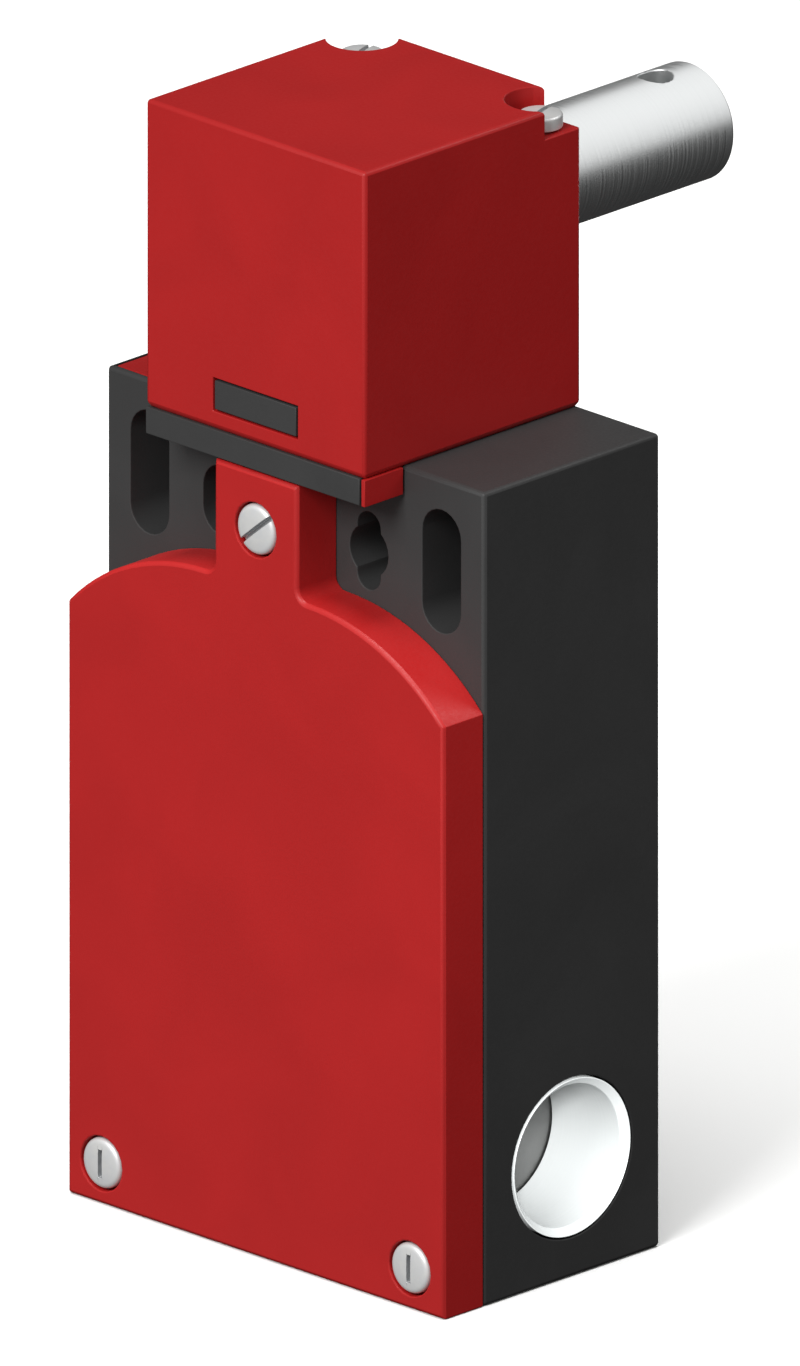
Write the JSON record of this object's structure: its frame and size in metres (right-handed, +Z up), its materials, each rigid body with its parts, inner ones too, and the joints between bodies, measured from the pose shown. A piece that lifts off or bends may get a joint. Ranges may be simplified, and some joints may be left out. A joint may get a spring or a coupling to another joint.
{
  "type": "safety hinge switch",
  "caption": "Safety switch for a hinged guard: plastic housing with a front cover and a side cable entry, and a head whose solid shaft turns with the hinge.",
  "frame": {"origin": "middle of the housing's flat bottom face, at half the width and half the depth of the housing", "axes": "+Z up from the housing to the head, +Y back along the shaft to its free end, +X to the side with the cable entry; the cover faces -Y"},
  "size_m": [0.052, 0.0611, 0.1166],
  "materials": {
    "black_moulding": "fine matt grain",
    "red_moulding": "fine matt grain",
    "zinc_plated_steel": "zinc plated",
    "turned_steel": "fine turned",
    "nickel_plated_brass": "nickel plated",
    "brass": "plain",
    "rubber": "matt",
    "grey_moulding": "matt",
    "ivory_moulding": "matt"
  },
  "bodies": {
    "switch_body": {"housing": "black_moulding", "cover": "red_moulding", "head_housing": "red_moulding", "head_seat_plate": "red_moulding", "cover_screw_top": "zinc_plated_steel", "cover_screw_left": "zinc_plated_steel", "cover_screw_right": "zinc_plated_steel", "head_screw_left": "zinc_plated_steel", "head_screw_right": "zinc_plated_steel", "block_screw_left": "zinc_plated_steel", "block_screw_right": "zinc_plated_steel", "terminal_screw_left_1": "zinc_plated_steel", "terminal_screw_left_2": "zinc_plated_steel", "terminal_screw_left_3": "zinc_plated_steel", "terminal_screw_right_1": "zinc_plated_steel", "terminal_screw_right_2": "zinc_plated_steel", "terminal_screw_right_3": "zinc_plated_steel", "thrust_washer": "turned_steel", "return_spring": "turned_steel", "entry_bush": "nickel_plated_brass", "rear_bush": "brass", "front_bush": "brass", "plunger_guide": "brass", "terminal_left_1": "brass", "terminal_left_2": "brass", "terminal_left_3": "brass", "terminal_right_1": "brass", "terminal_right_2": "brass", "terminal_right_3": "brass", "cover_gasket": "rubber", "shaft_seal": "rubber", "plunger_seal": "rubber", "entry_disc": "grey_moulding", "contact_base": "grey_moulding"},
    "shaft": {"shaft": "turned_steel", "cam": "turned_steel", "cam_pin": "turned_steel"},
    "plunger": {"plunger": "turned_steel", "contact_carrier": "ivory_moulding", "contact_bridge_1": "brass", "contact_bridge_2": "brass", "contact_bridge_3": "brass"}
  },
  "joints": [
    {"name": "shaft_turn", "type": "hinge", "parent": "switch_body", "child": "shaft", "pos_m": [0, 0.001, 0.1026], "axis": [0, 1, 0], "range_deg": [-180, 180]},
    {"name": "plunger_press", "type": "slide", "parent": "switch_body", "child": "plunger", "axis": [0, 0, -1], "range_m": [0, 0.002], "stiffness_N_per_m": 900, "springref_m": -0.004, "deforming": ["return_spring"]}
  ]
}
